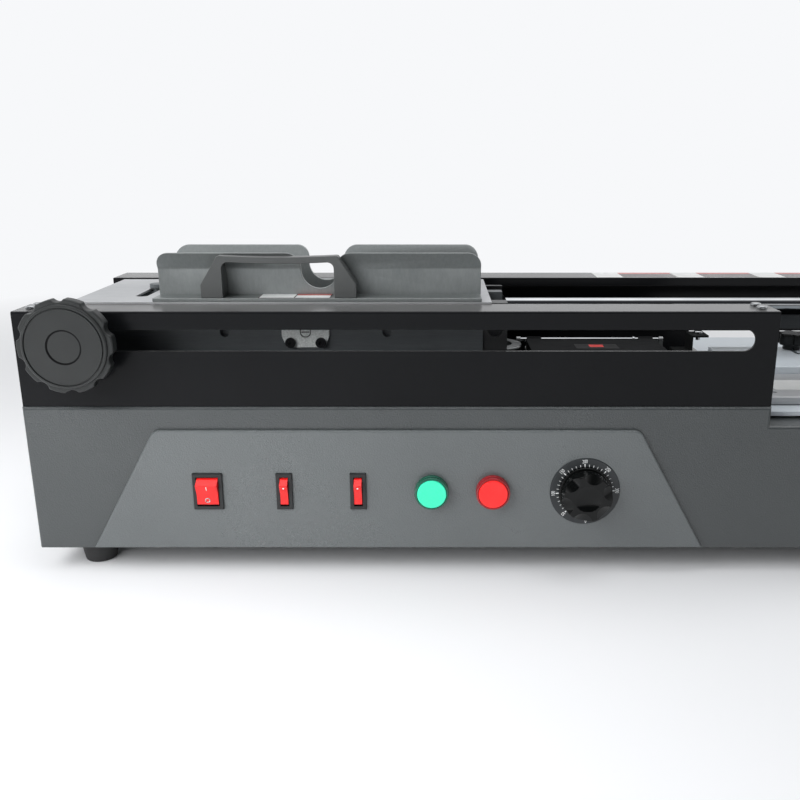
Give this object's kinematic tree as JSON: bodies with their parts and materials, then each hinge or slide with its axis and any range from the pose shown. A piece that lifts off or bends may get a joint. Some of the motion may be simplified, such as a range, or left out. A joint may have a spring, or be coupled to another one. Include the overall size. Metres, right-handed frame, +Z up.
{
  "type": "perfect binding machine",
  "caption": "Desktop glue binder: a clamp carriage with a handwheel slides a book block over a milling cutter and glue rollers to a lever-lifted cover table.",
  "frame": {"origin": "middle of the bounding box, at the bottom of the feet", "axes": "+X along the carriage's travel from the handwheel end to the lever end, +Y from the control panel to the back, +Z up"},
  "size_m": [0.925, 0.336, 0.2544],
  "materials": {
    "cabinet_gray": "fine-textured grey paint",
    "black_paint": "semi-gloss black paint",
    "table_gray": "light blue-grey paint",
    "plate_steel": "bright plated sheet",
    "jaw_steel": "satin steel",
    "machined_steel": "machined steel",
    "bright_steel": "polished steel",
    "black_steel": "blackened steel",
    "cast_aluminium": "cast, slightly rough",
    "bronze": "turned bronze",
    "dark_plastic": "dark grey moulded plastic",
    "black_plastic": "black moulded plastic",
    "red_plastic": "glossy red, lit from inside",
    "green_plastic": "glossy green, lit from inside",
    "scale_black": "black scale ring",
    "rubber": "black rubber"
  },
  "bodies": {
    "base": {"cabinet_shell": "cabinet_gray", "control_panel": "cabinet_gray", "bottom_plate": "cabinet_gray", "rear_cover": "cabinet_gray", "rubber_feet": "rubber", "power_inlet": "black_plastic", "front_housing": "black_paint", "silver_screws": "bright_steel", "front_guide_rail": "machined_steel", "rear_beam": "black_paint", "rear_rail": "machined_steel", "rear_wall": "black_paint", "guide_rod": "bright_steel", "rod_supports": "cast_aluminium", "milling_motor": "black_steel", "glue_tank": "cast_aluminium", "lid_hinge_rod": "bright_steel", "roller_gearmotor": "black_steel", "stop_bracket": "plate_steel", "cover_table": "table_gray", "lift_bearings": "cast_aluminium", "switch_housings": "black_plastic", "button_collars": "bright_steel", "thermostat": "scale_black"},
    "carriage": {"carriage_plate": "plate_steel", "front_jaw": "jaw_steel", "front_clamp_plate": "jaw_steel", "bearing_blocks": "machined_steel", "adjuster_plate": "bright_steel", "adjuster_screws": "black_steel", "handle": "dark_plastic", "rod_bushing_blocks": "cast_aluminium", "rear_bearing_bar": "machined_steel", "sync_chain": "black_steel"},
    "roller": {"front_roller": "bright_steel"},
    "moving_jaw": {"rear_jaw": "jaw_steel", "rear_clamp_plate": "jaw_steel", "screw_nuts": "bronze"},
    "wheel_and_screw": {"handwheel": "dark_plastic", "left_screw": "machined_steel"},
    "far_screw": {"right_screw": "machined_steel"},
    "cutter": {"milling_cutter": "machined_steel"},
    "glue_roller_1": {"left_glue_roller": "machined_steel"},
    "glue_roller_2": {"right_glue_roller": "machined_steel"},
    "pinion": {"drive_pinion": "bronze"},
    "lid": {"tank_lid": "black_steel"},
    "lever": {"nip_lever": "machined_steel", "lever_grip": "black_plastic", "cam_shaft": "machined_steel"},
    "platform": {"nip_platform": "plate_steel"},
    "fence": {"cover_fence": "table_gray"},
    "knob_1": {"left_star_knob": "black_plastic"},
    "knob_2": {"right_star_knob": "black_plastic"},
    "drawer": {"chip_drawer": "cabinet_gray"},
    "rocker_main": {"main_rocker": "red_plastic"},
    "rocker_1": {"left_rocker": "red_plastic"},
    "rocker_2": {"right_rocker": "red_plastic"},
    "button_green": {"green_button": "green_plastic"},
    "button_red": {"red_button": "red_plastic"},
    "dial": {"thermostat_knob": "dark_plastic"}
  },
  "joints": [
    {"name": "carriage_slide", "type": "slide", "parent": "base", "child": "carriage", "axis": [1, 0, 0], "range_m": [0, 0.5079]},
    {"name": "roller_turn", "type": "hinge", "parent": "carriage", "child": "roller", "pos_m": [-0.4145, -0.121, 0.1784], "axis": [0, 1, 0], "range_deg": [0, 3660]},
    {"name": "jaw_close", "type": "slide", "parent": "carriage", "child": "moving_jaw", "axis": [0, -1, 0], "range_m": [0, 0.042]},
    {"name": "handwheel_turn", "type": "hinge", "parent": "carriage", "child": "wheel_and_screw", "pos_m": [-0.4145, -0.083, 0.193], "axis": [0, 1, 0], "range_deg": [0, 2521]},
    {"name": "far_screw_turn", "type": "hinge", "parent": "carriage", "child": "far_screw", "pos_m": [-0.0909, -0.083, 0.193], "axis": [0, 1, 0], "range_deg": [0, 2521]},
    {"name": "milling_spin", "type": "hinge", "parent": "base", "child": "cutter", "pos_m": [-0.0885, -0.061, 0.16], "axis": [0, 0, 1], "continuous": true},
    {"name": "glue_roller_turn", "type": "hinge", "parent": "base", "child": "glue_roller_1", "pos_m": [-0.0255, -0.063, 0.1525], "axis": [0, 1, 0], "continuous": true},
    {"name": "second_roller_turn", "type": "hinge", "parent": "base", "child": "glue_roller_2", "pos_m": [0.0205, -0.063, 0.1525], "axis": [0, 1, 0], "continuous": true},
    {"name": "pinion_turn", "type": "hinge", "parent": "base", "child": "pinion", "pos_m": [-0.0025, -0.029, 0.13324], "axis": [0, 1, 0], "continuous": true},
    {"name": "lid_hinge", "type": "hinge", "parent": "base", "child": "lid", "pos_m": [-0.0025, -0.03705, 0.1716], "axis": [-1, 0, 0], "range_deg": [0, 100]},
    {"name": "nip_lever_turn", "type": "hinge", "parent": "base", "child": "lever", "pos_m": [0.4495, -0.066, 0.072], "axis": [1, 0, 0], "range_deg": [0, 100]},
    {"name": "platform_lift", "type": "slide", "parent": "base", "child": "platform", "axis": [0, 0, 1], "range_m": [0, 0.034]},
    {"name": "fence_slide", "type": "slide", "parent": "base", "child": "fence", "axis": [0, 1, 0], "range_m": [0, 0.02]},
    {"name": "left_knob_turn", "type": "hinge", "parent": "base", "child": "knob_1", "pos_m": [0.21345, 0.047, 0.15], "axis": [0, 0, 1], "range_deg": [0, 360]},
    {"name": "right_knob_turn", "type": "hinge", "parent": "base", "child": "knob_2", "pos_m": [0.3305, 0.047, 0.15], "axis": [0, 0, 1], "range_deg": [0, 360]},
    {"name": "drawer_slide", "type": "slide", "parent": "base", "child": "drawer", "axis": [0, 1, 0], "range_m": [0, 0.12]},
    {"name": "main_rocker_tilt", "type": "hinge", "parent": "base", "child": "rocker_main", "pos_m": [-0.3207, -0.147, 0.072], "axis": [1, 0, 0], "range_deg": [-26, 0]},
    {"name": "left_rocker_tilt", "type": "hinge", "parent": "base", "child": "rocker_1", "pos_m": [-0.2598, -0.147, 0.072], "axis": [1, 0, 0], "range_deg": [-26, 0]},
    {"name": "right_rocker_tilt", "type": "hinge", "parent": "base", "child": "rocker_2", "pos_m": [-0.2011, -0.147, 0.072], "axis": [1, 0, 0], "range_deg": [-26, 0]},
    {"name": "green_button_press", "type": "slide", "parent": "base", "child": "button_green", "axis": [0, 1, 0], "range_m": [0, 0.003], "stiffness_N_per_m": 300, "springref_m": -0.002},
    {"name": "red_button_press", "type": "slide", "parent": "base", "child": "button_red", "axis": [0, 1, 0], "range_m": [0, 0.003], "stiffness_N_per_m": 300, "springref_m": -0.002},
    {"name": "dial_turn", "type": "hinge", "parent": "base", "child": "dial", "pos_m": [-0.0205, -0.153, 0.072], "axis": [0, 1, 0], "range_deg": [0, 270]}
  ],
  "couplings": [
    {"joint": "roller_turn", "follows": "carriage_slide", "rad_per_m": 125},
    {"joint": "handwheel_turn", "follows": "jaw_close", "rad_per_m": 1047.2},
    {"joint": "far_screw_turn", "follows": "jaw_close", "rad_per_m": 1047.2},
    {"joint": "second_roller_turn", "follows": "glue_roller_turn", "ratio": 1},
    {"joint": "pinion_turn", "follows": "glue_roller_turn", "ratio": -1.5},
    {"joint": "platform_lift", "follows": "nip_lever_turn", "m_per_rad": 0.019481}
  ]
}
